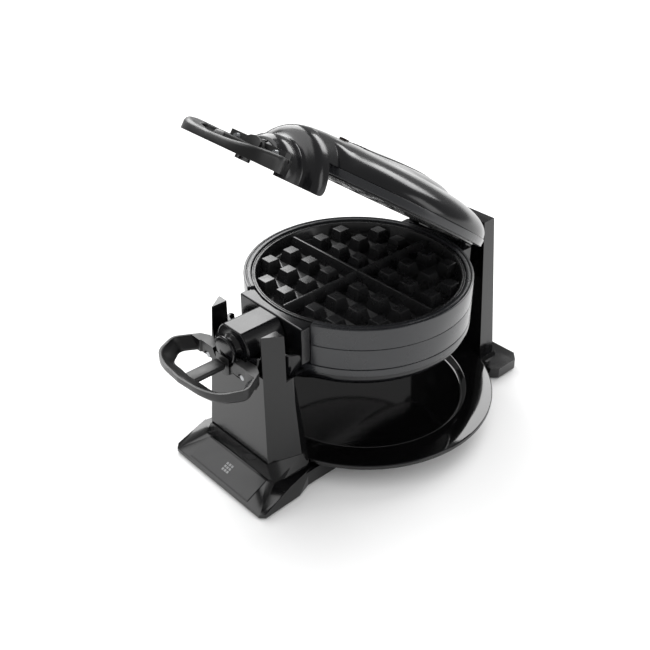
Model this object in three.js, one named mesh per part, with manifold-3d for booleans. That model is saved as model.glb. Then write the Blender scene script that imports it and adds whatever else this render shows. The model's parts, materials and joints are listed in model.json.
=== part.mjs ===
// Rotating round waffle maker: a drum with two waffle chambers turns between a front and a rear post.
// X runs across, -Y is the handle side, +Z is up. The drum's middle is x = 0, y = 0 before the last shift,
// and heights inside the drum are measured from the axis that it turns on.
import * as THREE from 'three';
import { ConvexGeometry } from 'three/addons/geometries/ConvexGeometry.js';
import { mergeVertices } from 'three/addons/utils/BufferGeometryUtils.js';
import Module from 'manifold-3d';

const wasm = await Module();
wasm.setup();

// Driving sizes, in millimetres and degrees.
const gap = 0.3; // between pieces that touch
const roundSides = 32;
const axisHeight = 130;
const drumRadius = 99.4;
const lidOpening = 35;
const pegHeight = 11;
const plateWall = 2;
const heaterWire = 3;
const heaterRoom = 0.5; // between the heater and the plates over it
const centreTipDrop = 1; // peg tips below the drum plate's rim
const centreRim = heaterWire + heaterRoom + plateWall + pegHeight + centreTipDrop; // above the axis
const bandHalf = centreRim + 1.55;

// Places along Y, counted outward from the drum's front and rear edges.
const ahead = (distance) => -drumRadius - distance;
const behind = (distance) => drumRadius + distance;

const hinge = { y: behind(7), up: bandHalf + 7.75, pin: 2.5, knuckle: 5.5, halfWidth: 28.6, lug: 6 };

const plate = {
  radius: drumRadius - 7, well: drumRadius - 10.4, floorRadius: drumRadius - 13.9,
  pegHeight, floorWall: plateWall, shoulder: 6.7,
};
const peg = { pitch: 24.7, first: 18.3, topHalf: 5.3, baseHalf: 8 };
const rib = { topHalf: 1, baseHalf: 4 };
const lidTipDrop = 0.5;
const lidBand = 6.4; // height of the lid's rim band
const lidHeaterRadius = 60;
const centreHeaterRadius = 55;

const housing = { halfWidth: 39.1, halfHeight: 17, frontY: ahead(0.5), rearY: behind(4.6) };
const hub = { radius: 20.3, halfHeight: 17, frontY: ahead(39.2), wall: 4, boss: 12, bossLength: 8.4 };
const collar = { radius: 29.3, wall: 3 };
const domeWall = 2.6;
const handle = { bottom: 3.1, frontY: ahead(93.2), wall: 2.6, neckHalf: 8, tipHeight: 6.4, height: 11.5 };

const cradle = { radius: 30.9, earRearY: ahead(20.1), liner: 1.7 };
const frontPost = { bottom: 32, top: axisHeight + 21.4, wall: 3 };
const rearPost = { bottom: 17.5, top: axisHeight + 38, wall: 2.5, shell: 9.9 };
const trunnion = { radius: 14, bore: 9, flange: 19, endY: behind(25.4) };
const bush = { radius: 18, startY: behind(20.2), endY: behind(25.6) };

const pan = { bottom: 1.5, spineTop: 15.5, blockTop: 31.6, toeTop: 4.5, wall: 2.5, roof: 3 };
const footEnds = { frontY: ahead(65.1), rearY: behind(65.4) };
const floorPlate = { bottom: 1.7, top: 2.7 };
const tray = {
  centreY: 8.2, radius: drumRadius + 22.1, recess: drumRadius - 2.6, underside: 16.2, rim: 24.7, sheet: 2,
};
const trayCut = { frontY: ahead(1.6), rearY: behind(24.8) };
const screw = { shank: 1.6, head: 3.4, headHeight: 2.4 };

const centreTip = centreRim - centreTipDrop;
const centreBack = centreTip - plate.pegHeight - plate.floorWall;
const lidRim = centreRim + gap; // closed lid plate's rim
const lidBack = lidRim + lidTipDrop + plate.pegHeight + plate.floorWall;
const lidBandBottom = bandHalf + gap;
const lidBandTop = lidBandBottom + lidBand;
const coverBottom = lidBandTop + gap;
const domeShoulder = Math.max(coverBottom, lidBack) + 12.7; // over the lid's heater and reflector
const arch = { radius: domeShoulder - 1, frontY: ahead(16.6), wall: 3, skirtEnd: ahead(5.1), skirtRound: 5 };
const armBottom = 2 * gap; // each lid's arm stops just short of the axis plane
const holeRadius = screw.shank + gap;

// Solids and the helpers that make them.
function solid(geometry) {
  const bare = geometry.index ? geometry.toNonIndexed() : geometry.clone();
  for (const name of Object.keys(bare.attributes)) {
    if (name !== 'position') bare.deleteAttribute(name);
  }
  const merged = mergeVertices(bare, 1e-4);
  const faces = [];
  for (let i = 0; i < merged.index.count; i += 3) {
    const [a, b, c] = [0, 1, 2].map((k) => merged.index.getX(i + k));
    if (a !== b && b !== c && c !== a) faces.push([a, b, c]);
  }
  const make = (list) => new wasm.Manifold(new wasm.Mesh({
    numProp: 3,
    vertProperties: merged.attributes.position.array,
    triVerts: new Uint32Array(list.flat()),
  }));
  const made = make(faces);
  return made.volume() > 0 ? made : make(faces.map(([a, b, c]) => [a, c, b]));
}

function mesh(name, shape, material, parent) {
  const surface = shape.getMesh();
  const geometry = new THREE.BufferGeometry();
  geometry.setAttribute('position', new THREE.Float32BufferAttribute(surface.vertProperties, 3));
  geometry.setIndex([...surface.triVerts]);
  geometry.computeVertexNormals();
  const made = new THREE.Mesh(geometry, material);
  made.name = name;
  parent.add(made);
}

const join = (...shapes) => shapes.reduce((all, next) => all.add(next));
const cut = (shape, ...tools) => tools.reduce((left, tool) => left.subtract(tool), shape);

function box(x0, x1, y0, y1, z0, z1) {
  const shape = new THREE.BoxGeometry(x1 - x0, y1 - y0, z1 - z0);
  return solid(shape.translate((x0 + x1) / 2, (y0 + y1) / 2, (z0 + z1) / 2));
}

// A turned solid about Z from [radius, height] points.
function turned(profile, sides = roundSides) {
  const points = profile.map(([r, z]) => new THREE.Vector2(r, z));
  return solid(new THREE.LatheGeometry(points, sides).rotateX(Math.PI / 2));
}

const closedTurned = (profile, sides) => turned([...profile, profile[0]], sides);

function rodZ(radius, z0, z1, x = 0, y = 0, sides = roundSides) {
  const shape = new THREE.CylinderGeometry(radius, radius, z1 - z0, sides).rotateX(Math.PI / 2);
  return solid(shape.translate(x, y, (z0 + z1) / 2));
}

function rodY(radius, y0, y1, x = 0, z = 0, sides = roundSides, endRadius = radius) {
  const shape = new THREE.CylinderGeometry(endRadius, radius, y1 - y0, sides);
  return solid(shape.translate(x, (y0 + y1) / 2, z));
}

function rodX(radius, x0, x1, y, z, sides = 12) {
  const shape = new THREE.CylinderGeometry(radius, radius, x1 - x0, sides).rotateZ(Math.PI / 2);
  return solid(shape.translate((x0 + x1) / 2, y, z));
}

const outline = (points) => new THREE.Shape(points.map(([x, y]) => new THREE.Vector2(x, y)));
const bothSides = (half) => [...half, ...half.map(([x, y]) => [-x, y]).reverse()];

function prismZ(shape, z0, z1) {
  const made = new THREE.ExtrudeGeometry(shape, { depth: z1 - z0, bevelEnabled: false, curveSegments: 8 });
  return solid(made.translate(0, 0, z0));
}

// Extrudes a Y-Z outline along X.
function prismX(shape, x0, x1) {
  const made = new THREE.ExtrudeGeometry(shape, { depth: x1 - x0, bevelEnabled: false, curveSegments: 8 });
  return solid(made.rotateX(Math.PI / 2).rotateZ(Math.PI / 2).translate(x0, 0, 0));
}

// The convex solid of points given for x > 0 and mirrored across x = 0.
function hull(points) {
  const all = points.flatMap(([x, y, z]) => [new THREE.Vector3(x, y, z), new THREE.Vector3(-x, y, z)]);
  return solid(new ConvexGeometry(all));
}

function moved(shape, matrix) {
  return shape.transform(matrix.elements);
}

const finish = (color, roughness, metalness = 0) => (
  new THREE.MeshStandardMaterial({ color, roughness, metalness })
);
const glossBlack = finish(0x101012, 0.2);
const satinBlack = finish(0x1c1c1f, 0.42);
const bandGrey = finish(0x2c2d30, 0.38);
const nonStick = finish(0x2b2b2d, 0.45, 0.2);
const rubber = finish(0x151515, 0.9);
const nylon = finish(0x3a3a3a, 0.6);
const steel = finish(0x9a9c9e, 0.35, 0.9);
const aluminium = finish(0xb9bcc0, 0.4, 0.8);
const ceramic = finish(0xd8d2c4, 0.7);
const smoked = finish(0x17120e, 0.2);

const machine = new THREE.Group();
const drum = new THREE.Group();
drum.position.z = axisHeight;
machine.add(drum);

// Waffle plate facing up with its rim at z = 0.
function wafflePlate(tipDrop) {
  const floor = -tipDrop - plate.pegHeight;
  const back = floor - plate.floorWall;
  const dish = turned([
    [0, back], [plate.floorRadius + plate.floorWall, back], [plate.radius, -plate.shoulder],
    [plate.radius, 0], [plate.well, 0], [plate.floorRadius, floor], [0, floor],
  ]);
  const tip = -tipDrop;
  const root = floor - plate.floorWall / 2;
  const pegs = [];
  const inWell = (x, y) => Math.hypot(x, y) < plate.well - peg.topHalf;
  for (let i = 0; i < 3; i++) {
    for (let j = 0; j < 3; j++) {
      const [x, y] = [peg.first + i * peg.pitch, peg.first + j * peg.pitch];
      if (!inWell(x, y)) continue;
      for (const side of [-1, 1]) {
        const corners = [[peg.topHalf, tip], [peg.baseHalf, root]].flatMap(([half, z]) => (
          [[x - half, side * y - half, z], [x + half, side * y - half, z],
            [x - half, side * y + half, z], [x + half, side * y + half, z]]
        ));
        const points = corners.map(([a, b, c]) => new THREE.Vector3(a, b, c));
        const one = solid(new ConvexGeometry(points));
        pegs.push(one, one.mirror([1, 0, 0]));
      }
    }
  }
  const ridge = hull([[rib.topHalf, -plate.well, tip], [rib.topHalf, plate.well, tip],
    [rib.baseHalf, -plate.well, root], [rib.baseHalf, plate.well, root]]);
  const crossRidge = moved(ridge, new THREE.Matrix4().makeRotationZ(Math.PI / 2));
  const middle = (plate.well + plate.radius) / 2;
  const raised = join(...pegs, ridge, crossRidge).intersect(rodZ(middle, root, tip));
  return join(dish, raised);
}

function heater(radius) {
  return solid(new THREE.TorusGeometry(radius, heaterWire, 6, 20));
}

// Front and rear housings close the drum's band where the hub and the trunnion leave it.
function housingBlock(y0, y1) {
  const { halfWidth, halfHeight } = housing;
  return box(-halfWidth, halfWidth, y0, y1, -halfHeight, halfHeight);
}

function addDrumCentre() {
  const inner = plate.radius + 0.5;
  const seat = centreBack - gap;
  const half = closedTurned([
    [plate.floorRadius, gap / 2], [drumRadius, gap / 2], [drumRadius, bandHalf],
    [inner, bandHalf], [inner, seat], [plate.floorRadius, seat],
  ]);
  const window = housing.halfWidth + gap;
  const band = cut(half, box(-window, window, ahead(1), -60, -1, bandHalf + 1));
  const centrePlate = wafflePlate(centreTipDrop);
  for (const [side, turn] of [['upper', 0], ['lower', Math.PI]]) {
    const group = new THREE.Group();
    group.rotation.y = turn;
    drum.add(group);
    mesh(`${side}_drum_band`, band, bandGrey, group);
    mesh(`${side}_centre_plate`, centrePlate.translate([0, 0, centreRim]), nonStick, group);
  }
  mesh('centre_heater', heater(centreHeaterRadius), steel, drum);
  mesh('centre_thermostat', rodZ(9, -heaterWire, heaterWire, 0, 0, 20), ceramic, drum);
  mesh('thermal_fuse', rodX(1.8, -12, 12, 24, 0, 12), aluminium, drum);

  const front = cut(housingBlock(housing.frontY, -70), rodZ(inner, -30, 30));
  mesh('front_housing', front, satinBlack, drum);

  const lugs = [];
  for (const x of [-hinge.halfWidth - gap - hinge.lug, hinge.halfWidth + gap]) {
    for (const up of [-1, 1]) {
      const lug = join(
        rodX(hinge.knuckle, x, x + hinge.lug, hinge.y, up * hinge.up),
        prismX(outline([[behind(1.5), 0], [hinge.y, 0],
          [hinge.y + hinge.knuckle * 0.9, up * hinge.up],
          [hinge.y - hinge.knuckle, up * hinge.up]]), x, x + hinge.lug),
      );
      lugs.push(lug);
    }
  }
  const pinReach = hinge.halfWidth + gap + hinge.lug;
  const pinHoles = [-1, 1].map((up) => (
    rodX(hinge.pin + gap, -pinReach - 1, pinReach + 1, hinge.y, up * hinge.up)
  ));
  const rearBlock = cut(housingBlock(70, housing.rearY), rodZ(drumRadius + gap, -30, 30));
  mesh('rear_housing', cut(join(rearBlock, ...lugs), ...pinHoles), satinBlack, drum);
  mesh('upper_hinge_pin', rodX(hinge.pin, -pinReach, pinReach, hinge.y, hinge.up, 16), steel, drum);
  mesh('lower_hinge_pin', rodX(hinge.pin, -pinReach, pinReach, hinge.y, -hinge.up, 16), steel, drum);

  const hubRear = housing.frontY - gap;
  const flat = box(-hub.radius, hub.radius, hub.frontY, hubRear, -hub.halfHeight, hub.halfHeight);
  const body = rodY(hub.radius, hub.frontY, hubRear).intersect(flat);
  const boss = rodY(hub.boss * 0.7, hub.frontY - hub.bossLength, hub.frontY + 1, 0, 0, 24, hub.boss);
  const wireway = rodY(hub.radius - 2 * hub.wall, hub.frontY + hub.wall, housing.frontY, 0, 0, 24);
  mesh('hub', cut(join(body, boss), wireway), satinBlack, drum);

  const start = housing.rearY + gap;
  const shaft = join(
    rodY(trunnion.flange, start, start + 3, 0, 0, 32),
    rodY(trunnion.radius, start, trunnion.endY + 4, 0, 0, 32),
  );
  mesh('rear_trunnion', cut(shaft, rodY(trunnion.bore, start - 1, trunnion.endY + 5, 0, 0, 24)), steel, drum);
  const clip = rodY(trunnion.radius + 4, trunnion.endY + 1, trunnion.endY + 3, 0, 0, 24);
  mesh('trunnion_clip', cut(clip, rodY(trunnion.radius + gap, 0, trunnion.endY + 75, 0, 0, 32)), steel, drum);
}

// Half sections of the long back that runs over the dome: [y, half width, height above the axis].
const backSections = [
  [ahead(0.9), 42, domeShoulder + 0.5], [-50, 41, domeShoulder + 6], [0, 39, domeShoulder + 11],
  [40, 35, domeShoulder + 13.2], [drumRadius - 33.4, 27, domeShoulder + 11.5],
  [drumRadius - 9.4, 12, domeShoulder + 1],
];

function longBack(inset) {
  const points = [];
  for (const [y, width, height] of backSections) {
    const [w, h] = [width - inset, height - inset - coverBottom];
    const along = y > drumRadius - 20 ? y - inset : y;
    for (const degrees of [0, 30, 60, 90]) {
      const angle = THREE.MathUtils.degToRad(degrees);
      points.push([w * Math.cos(angle), along, coverBottom + h * Math.sin(angle)]);
    }
  }
  return hull(points);
}

function domeCap(inset) {
  const rim = drumRadius - 3.2;
  return turned([
    [0, coverBottom], [rim - inset, coverBottom], [rim - 1 - inset, coverBottom + 6],
    [rim - 6.5 - inset, coverBottom + 13.4 - inset], [rim - 18 - inset, domeShoulder - inset],
    [58 - inset, domeShoulder + 3.6 - inset], [0, domeShoulder + 6 - inset],
  ], 24 + (inset === 0 ? 8 : 0));
}

function lidCover() {
  const far = arch.radius + 5;
  const aboveRim = (y0, y1) => box(-far, far, y0, y1, coverBottom, far);
  const archEnd = -60;
  const { skirtEnd, skirtRound } = arch;
  const skirt = new THREE.Shape();
  skirt.moveTo(arch.frontY, armBottom);
  skirt.lineTo(skirtEnd - skirtRound, armBottom);
  skirt.absarc(skirtEnd - skirtRound, armBottom + skirtRound, skirtRound, -Math.PI / 2, 0);
  skirt.lineTo(skirtEnd, far);
  skirt.lineTo(arch.frontY, far);
  const outer = join(
    domeCap(0),
    longBack(0),
    rodY(arch.radius, arch.frontY, archEnd)
      .intersect(join(aboveRim(skirtEnd - 1, archEnd), prismX(skirt, -far, far))),
    rodY(collar.radius, hub.frontY, arch.frontY + 1)
      .intersect(box(-far, far, hub.frontY - 1, 0, armBottom, far)),
  );
  const hubRoom = rodY(hub.radius + 2 * gap, hub.frontY - 1, arch.frontY)
    .intersect(box(-40, 40, hub.frontY - 1, arch.frontY, -1, hub.halfHeight + 2 * gap));
  return cut(
    outer,
    domeCap(domeWall).translate([0, 0, -0.01]),
    longBack(domeWall).translate([0, 0, -0.01]),
    rodY(arch.radius - arch.wall, arch.frontY + arch.wall, archEnd + 10),
    rodY(collar.radius - collar.wall, hub.frontY + collar.wall, arch.frontY + arch.wall + 1),
    hubRoom,
  );
}

// Handle half: a hollow hexagonal loop with two finger openings, open on the side that faces its twin.
function handleHalf() {
  const { bottom, frontY, wall, neckHalf, tipHeight, height } = handle;
  const top = bottom + height;
  const root = hub.frontY - gap;
  const half = [[0, frontY], [18, frontY + 1.3], [32, frontY + 5.2], [42, frontY + 12.5], [49.6, frontY + 30],
    [37.8, frontY + 49.9], [30, root], [0, root]];
  const shrink = (points, by) => points.map(([x, y]) => {
    const middle = frontY + 28;
    const length = Math.hypot(x, y - middle);
    return [x * (1 - by / length), middle + (y - middle) * (1 - by / length)];
  });
  const opening = [[neckHalf, frontY + 44], [29, frontY + 44], [37, frontY + 30], [29.5, frontY + 16.5],
    [neckHalf, frontY + 12.5]];
  const grown = [[neckHalf - wall, frontY + 44 + wall], [31, frontY + 44 + wall], [37 + wall, frontY + 30],
    [30.5, frontY + 16.5 - wall], [neckHalf - wall, frontY + 12.5 - wall]];
  const mirrorX = (points) => points.map(([x, y]) => [-x, y]);
  const underBack = (drop) => prismX(outline([
    [root, bottom - 1], [root, top - drop], [frontY + 24, top - drop], [frontY + 10, top - 2.5 - drop],
    [frontY, bottom + tipHeight - drop], [frontY, bottom - 1],
  ]), -60, 60);
  const loop = prismZ(outline(bothSides(half)), bottom, top).intersect(underBack(0));
  const channelShape = outline(bothSides(shrink(half.slice(0, 6), wall)));
  const channel = cut(
    prismZ(channelShape, bottom - 1, top).intersect(underBack(wall)),
    prismZ(outline(grown), bottom - 2, top),
    prismZ(outline(mirrorX(grown)), bottom - 2, top),
    box(-neckHalf - 1, neckHalf + 1, frontY + 20, root, bottom - 2, top),
    box(-60, 60, frontY + 40, root + 1, bottom - 2, top),
  );
  const hump = new THREE.SphereGeometry(1, 16, 10).scale(13, 20, 12).translate(0, root - 10, bottom + 6);
  const seat = box(-shelf.halfWidth, shelf.halfWidth, root - shelf.depth, root, bottom, shelf.top);
  const whole = join(loop, solid(hump).intersect(box(-20, 20, root - 60, root, bottom, 40)), seat);
  const bossRoom = rodY(hub.boss + 2, root - hub.bossLength - 2, root + 1, 0, 0, 24);
  const hubWindow = rodY(hub.radius + gap, root - 3, root + 1);
  return cut(
    whole,
    channel,
    prismZ(outline(opening), bottom - 1, top + 8),
    prismZ(outline(mirrorX(opening)), bottom - 1, top + 8),
    bossRoom,
    hubWindow,
  );
}

const coverScrew = { x: 26, heights: [60, 152], length: 11 };
const handleScrew = { x: 22, up: 14.5, length: 9 };
const shelf = { halfWidth: 31, depth: 6, top: 19 };

function screwSolid(length) {
  const head = screw.headHeight;
  return turned([[0, 0], [screw.shank, 0], [screw.shank, length], [screw.head, length],
    [screw.head * 0.7, length + head], [0, length + head]], 10);
}

function addLid(side) {
  const half = new THREE.Group();
  half.rotation.y = side === 'upper' ? 0 : Math.PI;
  const swing = new THREE.Group();
  swing.position.set(0, hinge.y, hinge.up);
  swing.rotation.x = side === 'upper' ? -THREE.MathUtils.degToRad(lidOpening) : 0;
  const lid = new THREE.Group();
  lid.position.set(0, -hinge.y, -hinge.up);
  swing.add(lid);
  half.add(swing);
  drum.add(half);

  const inner = plate.radius + 0.5;
  const ring = closedTurned([
    [inner, lidBandBottom], [drumRadius, lidBandBottom], [drumRadius, lidBandTop], [inner, lidBandTop],
  ]);
  const knuckle = join(
    rodX(hinge.knuckle, -hinge.halfWidth, hinge.halfWidth, hinge.y, hinge.up),
    box(-hinge.halfWidth, hinge.halfWidth, drumRadius - 9.4, hinge.y - 1, lidBandBottom + 1, lidBandTop),
  );
  const rim = cut(
    join(ring, cut(knuckle, rodZ(inner + 1, 0, 60))),
    rodX(hinge.pin + gap, -60, 60, hinge.y, hinge.up),
  );
  mesh(`${side}_lid_rim`, rim, bandGrey, lid);

  const faceDown = new THREE.Matrix4().makeRotationY(Math.PI).setPosition(0, 0, lidRim);
  mesh(`${side}_lid_plate`, moved(wafflePlate(lidTipDrop), faceDown), nonStick, lid);
  const heaterHeight = lidBack + gap + heaterWire;
  mesh(`${side}_heater`, heater(lidHeaterRadius).translate([0, 0, heaterHeight]), steel, lid);
  const sheet = heaterHeight + heaterWire + gap;
  mesh(`${side}_heat_reflector`, rodZ(72, sheet, sheet + 0.8, 0, 0, 32), aluminium, lid);

  const screwHoles = [-1, 1].map((s) => (
    rodY(holeRadius, hub.frontY - 11.4, hub.frontY + 8.6, s * handleScrew.x, handleScrew.up, 12)
  ));
  const lens = { y: -62, radius: 4, height: 3 };
  const lensSeat = domeShoulder + 5 - gap;
  const lensPocket = rodZ(lens.radius + gap, lensSeat - 6, 70, 0, lens.y, 16);
  mesh(`${side}_lid_cover`, cut(lidCover(), ...screwHoles, lensPocket), satinBlack, lid);
  mesh(`${side}_lid_lamp`, rodZ(lens.radius, lensSeat - 2, lensSeat + 1, 0, lens.y, 16), smoked, lid);
  const shelfFace = hub.frontY - gap - shelf.depth;
  const headRooms = [-1, 1].map((s) => (
    rodY(screw.head + 2 * gap, handle.frontY + 40, shelfFace, s * handleScrew.x, handleScrew.up, 16)
  ));
  mesh(`${side}_handle`, cut(handleHalf(), ...screwHoles, ...headRooms), satinBlack, lid);

  const headSeat = hub.frontY - shelf.depth - 2 * gap;
  for (const [place, s] of [['left', -1], ['right', 1]]) {
    const turn = new THREE.Matrix4().makeRotationX(Math.PI / 2);
    turn.setPosition(s * handleScrew.x, headSeat + handleScrew.length, handleScrew.up);
    mesh(`${side}_handle_screw_${place}`, moved(screwSolid(handleScrew.length), turn), steel, lid);
  }
}

// The base: a pan with a long front foot, a low spine under the tray and a rear foot.
const wedgeHalf = [
  [57, footEnds.frontY], [61.2, footEnds.frontY + 4], [59.7, ahead(23.2)], [52.5, ahead(3.6)],
];
const spineHalf = 54.6;
const rearHalf = 66;
const rearTop = 12.4;
const blockScrew = { x: 20, y: ahead(8.6), seat: 26, length: 18 };
const rearScrew = { x: 30, y: behind(34.6), seat: 11.5, length: 17 };
const padSpots = [[50, footEnds.frontY + 13.5], [52, footEnds.rearY - 13.8]];
const slope = Math.atan2(12, 24.5);

function basePan() {
  const { bottom, spineTop, blockTop, toeTop, wall, roof } = pan;
  const wedge = hull([
    ...wedgeHalf.map(([x, y]) => [x, y, bottom]),
    [57, footEnds.frontY, toeTop], [61.2, footEnds.frontY + 4, toeTop + 1],
    [59.5, ahead(32.4), 17.5], [52, ahead(2.1), 16.5], [38, ahead(40.6), 16.5],
  ]);
  const block = hull([
    [50, ahead(41.1), 8], [50, ahead(2.1), 8],
    [38, ahead(40.2), blockTop], [47.5, ahead(9.6), blockTop], [46, ahead(2.1), blockTop],
  ]);
  const spine = box(-spineHalf, spineHalf, ahead(10.6), behind(28.6), bottom, spineTop);
  const rear = prismZ(outline(bothSides([
    [60, behind(26.6)], [rearHalf, behind(32.6)],
    [rearHalf, footEnds.rearY - 8], [rearHalf - 8, footEnds.rearY],
  ])), bottom, rearTop);
  const pedestalTop = rearPost.bottom - gap;
  const pedestal = hull([
    [49, behind(25.4), 8], [49, behind(50.6), 8],
    [46.5, behind(25.6), pedestalTop], [46.5, behind(47.6), pedestalTop],
  ]);

  const wedgeRoom = hull([
    [53, footEnds.frontY + 7, bottom - 1], [57.2, ahead(57.6), bottom - 1],
    [56, ahead(24.1), bottom - 1], [50, ahead(4.6), bottom - 1],
    [53, ahead(56.6), 5], [56, ahead(33.1), 13.5], [49.5, ahead(5.1), 13.5], [38, ahead(38.6), 13.5],
  ]);
  const blockRoom = hull([
    [46, ahead(36.6), 5], [46, ahead(5.1), 5],
    [35.5, ahead(36.6), blockTop - roof], [44, ahead(10.6), blockTop - roof],
    [43, ahead(5.1), blockTop - roof],
  ]);
  const spineIn = spineHalf - wall;
  const spineRoom = box(-spineIn, spineIn, ahead(20.6), behind(30.6), bottom - 1, spineTop - wall);
  const rearIn = rearHalf - 8;
  const rearRoom = box(-rearIn, rearIn, behind(27.6), footEnds.rearY - 8, bottom - 1, rearTop - wall);
  const pedestalRoom = box(-43, 43, behind(28.6), behind(44.6), bottom - 1, pedestalTop - roof);
  const rooms = [wedgeRoom, blockRoom, spineRoom, rearRoom, pedestalRoom];
  const shell = cut(join(wedge, block, spine, rear, pedestal), ...rooms);

  const bosses = join(...[-1, 1].flatMap((s) => [
    rodZ(5, floorPlate.top + gap, blockTop - 1, s * blockScrew.x, blockScrew.y, 16),
    rodZ(5, floorPlate.top + gap, rearPost.bottom - 1, s * rearScrew.x, rearScrew.y, 16),
  ]));
  const holes = [-1, 1].flatMap((s) => [
    rodZ(holeRadius, 0, 40, s * blockScrew.x, blockScrew.y, 12),
    rodZ(screw.head + gap, 0, blockScrew.seat + gap, s * blockScrew.x, blockScrew.y, 12),
    rodZ(holeRadius, 0, 40, s * rearScrew.x, rearScrew.y, 12),
    rodZ(screw.head + gap, 0, rearScrew.seat + gap, s * rearScrew.x, rearScrew.y, 12),
  ]);
  return cut(join(shell, bosses), ...holes, panelBox(gap, 0.7, 4));
}

// The name panel lies along the foot's slope; inset widens it into the recess that holds it.
function panelBox(grow, below, above) {
  const [halfX, halfY] = [39 + grow, 11.4 + grow];
  const lying = box(-halfX, halfX, -halfY, halfY, -below, above);
  const place = new THREE.Matrix4().makeRotationX(slope);
  return moved(lying, place.setPosition(0, footEnds.frontY + 12.7, 4.6 + 12.7 * Math.tan(slope)));
}

function addBase() {
  mesh('base_pan', basePan(), glossBlack, machine);

  const narrow = spineHalf - pan.wall - gap;
  const wide = rearHalf - 8 - gap;
  const floorHalf = [[52, ahead(57.1)], [55.5, ahead(50.6)], [54.5, ahead(25.1)], [48.5, ahead(5.1)],
    [narrow, ahead(0.6)], [narrow, behind(28.6)], [wide, behind(28.6)], [wide, footEnds.rearY - 8 - gap]];
  const stem = 2.2;
  const openings = [-1, 1].flatMap((s) => [
    ...padSpots.map(([x, y]) => rodZ(stem + gap, 0, 10, s * x, y, 12)),
    rodZ(screw.head + gap, 0, 10, s * blockScrew.x, blockScrew.y, 16),
    rodZ(screw.head + gap, 0, 10, s * rearScrew.x, rearScrew.y, 16),
  ]);
  const sheetMetal = prismZ(outline(bothSides(floorHalf)), floorPlate.bottom, floorPlate.top);
  mesh('base_floor', cut(sheetMetal, ...openings), satinBlack, machine);

  for (const [end, [x, y]] of [['front', padSpots[0]], ['rear', padSpots[1]]]) {
    for (const [place, s] of [['left', -1], ['right', 1]]) {
      const seat = pan.bottom - gap;
      const pad = turned([[0, 0], [6.5, 0], [7, seat], [stem, seat], [stem, 3.4], [0, 3.4]], 12);
      mesh(`foot_pad_${end}_${place}`, pad.translate([s * x, y, 0]), rubber, machine);
    }
  }
  mesh('name_panel', panelBox(0, 0.4, 0.5), satinBlack, machine);

  const sheet = tray.sheet;
  const dish = turned([
    [0, tray.underside], [tray.recess - 2, tray.underside], [tray.recess + 1, tray.rim - sheet],
    [tray.radius - sheet, tray.rim - sheet - 0.6], [tray.radius - sheet, tray.rim - 4.4],
    [tray.radius, tray.rim - 4.4],
    [tray.radius, tray.rim - 1.2], [tray.radius - 1.5, tray.rim - 0.4], [tray.recess, tray.rim],
    [tray.recess - 3, tray.underside + sheet], [0, tray.underside + sheet],
  ], 48).translate([0, tray.centreY, 0]);
  const room = box(-200, 200, trayCut.frontY, trayCut.rearY, 0, 60);
  mesh('drip_tray', dish.intersect(room), glossBlack, machine);
}

function addFrontPost() {
  const { bottom, top, wall } = frontPost;
  const outer = hull([
    [38.3, ahead(39), bottom], [47.4, ahead(9.8), bottom], [46, ahead(2.4), bottom],
    [31, ahead(35.1), top], [42, cradle.earRearY + 1.5, top],
  ]);
  const underCradle = axisHeight - arch.radius - 3 * wall;
  const room = hull([
    [34.6, ahead(35.8), bottom - 1], [44, ahead(9.1), bottom - 1], [43, ahead(5.4), bottom - 1],
    [33, ahead(34), underCradle], [41.2, ahead(15.1), underCradle],
  ]);
  const { radius, earRearY, liner } = cradle;
  const linerY = ahead(29.3);
  const slot = join(
    rodY(radius, hub.frontY - 11, earRearY + 1, 0, axisHeight),
    box(-radius, radius, hub.frontY - 11, earRearY + 1, axisHeight, top + 1),
  );
  const sweep = rodY(arch.radius + 5, earRearY, -90, 0, axisHeight);
  const groove = rodY(radius + liner + 2 * gap, linerY - 0.3, linerY + 4.7, 0, axisHeight)
    .intersect(box(-60, 60, linerY - 0.3, linerY + 4.7, 0, axisHeight - gap));
  const bosses = join(...[-1, 1].map((s) => (
    rodZ(4.6, bottom, underCradle + 1, s * blockScrew.x, blockScrew.y, 16)
  )));
  const holes = [-1, 1].map((s) => rodZ(holeRadius, 0, bottom + 14, s * blockScrew.x, blockScrew.y, 12));
  mesh('front_post', cut(join(cut(outer, room), bosses), slot, sweep, groove, ...holes), glossBlack, machine);

  const lining = cut(
    rodY(radius + liner + gap, linerY, linerY + 4.4, 0, axisHeight),
    rodY(radius + gap, linerY - 11, linerY + 9, 0, axisHeight),
    box(-60, 60, linerY - 11, linerY + 9, axisHeight - 2 * gap, 200),
  );
  mesh('cradle_liner', lining, nylon, machine);
  for (const [place, s] of [['left', -1], ['right', 1]]) {
    const turn = new THREE.Matrix4().makeRotationX(Math.PI);
    turn.setPosition(s * blockScrew.x, blockScrew.y, blockScrew.seat + blockScrew.length);
    mesh(`front_post_screw_${place}`, moved(screwSolid(blockScrew.length), turn), steel, machine);
  }
}

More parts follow.
